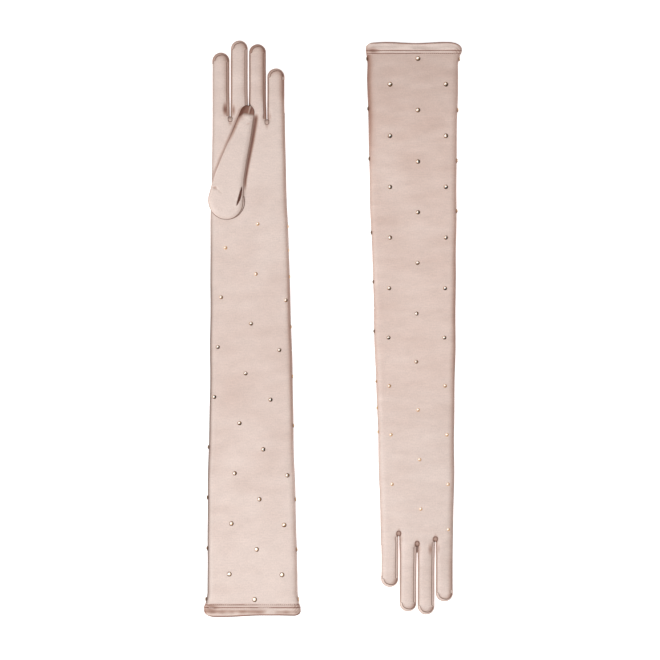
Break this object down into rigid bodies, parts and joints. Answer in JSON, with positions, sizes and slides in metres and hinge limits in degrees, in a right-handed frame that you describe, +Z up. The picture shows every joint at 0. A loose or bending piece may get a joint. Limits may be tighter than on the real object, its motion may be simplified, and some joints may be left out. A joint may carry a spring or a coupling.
{
  "type": "pair of opera gloves",
  "caption": "Pair of above-elbow stretch satin gloves lying flat, one palm up and one back up, with scattered crystals, a turned hem and gloves that fold at elbow, wrist, fingers and thumb.",
  "frame": {"origin": "middle of the pair's underside, on the table they lie on", "axes": "+X from the left glove to the right glove, +Y along the gloves towards the left glove's fingers, +Z up from the table"},
  "size_m": [0.2756, 0.62, 0.0165],
  "materials": {
    "satin": "champagne stretch satin, soft sheen",
    "hem_satin": "champagne stretch satin, doubled",
    "strip_satin": "champagne stretch satin, side strips",
    "thread": "twisted polyester sewing thread",
    "crystal": "faceted, foil backed, champagne gold"
  },
  "bodies": {
    "left_upper_body": {"left_upper_sleeve": "satin", "left_hem": "hem_satin", "left_hem_stitching": "thread", "left_upper_side_seam": "thread", "left_upper_crystals": "crystal"},
    "left_forearm_body": {"left_forearm_sleeve": "satin", "left_forearm_side_seam": "thread", "left_forearm_crystals": "crystal"},
    "left_hand_body": {"left_hand": "satin", "left_crotch_gussets": "strip_satin", "left_thumb_base": "satin", "left_thumb_seam": "thread", "left_hand_side_seam": "thread", "left_hand_crystals": "crystal"},
    "left_index_body": {"left_index_finger": "satin", "left_index_fourchette": "strip_satin"},
    "left_middle_body": {"left_middle_finger": "satin", "left_middle_fourchettes": "strip_satin"},
    "left_ring_body": {"left_ring_finger": "satin", "left_ring_fourchettes": "strip_satin"},
    "left_little_body": {"left_little_finger": "satin", "left_little_fourchette": "strip_satin"},
    "left_thumb_body": {"left_thumb": "satin"},
    "right_upper_body": {"right_upper_sleeve": "satin", "right_hem": "hem_satin", "right_hem_stitching": "thread", "right_upper_side_seam": "thread", "right_upper_crystals": "crystal"},
    "right_forearm_body": {"right_forearm_sleeve": "satin", "right_forearm_side_seam": "thread", "right_forearm_crystals": "crystal"},
    "right_hand_body": {"right_hand": "satin", "right_crotch_gussets": "strip_satin", "right_thumb_base": "satin", "right_thumb_seam": "thread", "right_hand_side_seam": "thread", "right_hand_crystals": "crystal"},
    "right_index_body": {"right_index_finger": "satin", "right_index_fourchette": "strip_satin"},
    "right_middle_body": {"right_middle_finger": "satin", "right_middle_fourchettes": "strip_satin"},
    "right_ring_body": {"right_ring_finger": "satin", "right_ring_fourchettes": "strip_satin"},
    "right_little_body": {"right_little_finger": "satin", "right_little_fourchette": "strip_satin"},
    "right_thumb_body": {"right_thumb": "satin"}
  },
  "joints": [
    {"name": "left_elbow", "type": "hinge", "parent": "left_upper_body", "child": "left_forearm_body", "pos_m": [-0.09, -0.144, 0.009], "axis": [1, 0, 0], "range_deg": [0, 135]},
    {"name": "left_wrist", "type": "hinge", "parent": "left_forearm_body", "child": "left_hand_body", "pos_m": [-0.09, 0.098, 0.009], "axis": [1, 0, 0], "range_deg": [0, 75]},
    {"name": "left_index_flex", "type": "hinge", "parent": "left_hand_body", "child": "left_index_body", "pos_m": [-0.09, 0.243, 0.009], "axis": [1, 0, 0], "range_deg": [0, 90]},
    {"name": "left_middle_flex", "type": "hinge", "parent": "left_hand_body", "child": "left_middle_body", "pos_m": [-0.09, 0.243, 0.009], "axis": [1, 0, 0], "range_deg": [0, 90]},
    {"name": "left_ring_flex", "type": "hinge", "parent": "left_hand_body", "child": "left_ring_body", "pos_m": [-0.09, 0.243, 0.009], "axis": [1, 0, 0], "range_deg": [0, 90]},
    {"name": "left_little_flex", "type": "hinge", "parent": "left_hand_body", "child": "left_little_body", "pos_m": [-0.09, 0.243, 0.009], "axis": [1, 0, 0], "range_deg": [0, 90]},
    {"name": "left_thumb_lift", "type": "hinge", "parent": "left_hand_body", "child": "left_thumb_body", "pos_m": [-0.10923, 0.15838, 0.0153], "axis": [0.972, -0.2351, 0], "range_deg": [0, 90]},
    {"name": "right_elbow", "type": "hinge", "parent": "right_upper_body", "child": "right_forearm_body", "pos_m": [0.09, 0.144, 0], "axis": [1, 0, 0], "range_deg": [0, 135]},
    {"name": "right_wrist", "type": "hinge", "parent": "right_forearm_body", "child": "right_hand_body", "pos_m": [0.09, -0.09792, 0.0063], "axis": [1, 0, 0], "range_deg": [0, 75]},
    {"name": "right_index_flex", "type": "hinge", "parent": "right_hand_body", "child": "right_index_body", "pos_m": [0.09, -0.24292, 0.0063], "axis": [1, 0, 0], "range_deg": [0, 80]},
    {"name": "right_middle_flex", "type": "hinge", "parent": "right_hand_body", "child": "right_middle_body", "pos_m": [0.09, -0.24292, 0.0063], "axis": [1, 0, 0], "range_deg": [0, 80]},
    {"name": "right_ring_flex", "type": "hinge", "parent": "right_hand_body", "child": "right_ring_body", "pos_m": [0.09, -0.24292, 0.0063], "axis": [1, 0, 0], "range_deg": [0, 80]},
    {"name": "right_little_flex", "type": "hinge", "parent": "right_hand_body", "child": "right_little_body", "pos_m": [0.09, -0.24292, 0.0063], "axis": [1, 0, 0], "range_deg": [0, 80]},
    {"name": "right_thumb_lift", "type": "hinge", "parent": "right_hand_body", "child": "right_thumb_body", "pos_m": [0.10923, -0.1583, 0], "axis": [0.972, -0.2351, 0], "range_deg": [0, 90]},
    {"name": "right_glove_lift", "type": "slide", "parent": "left_upper_body", "child": "right_upper_body", "axis": [0, 0, 1], "range_m": [0, 0.25]}
  ]
}
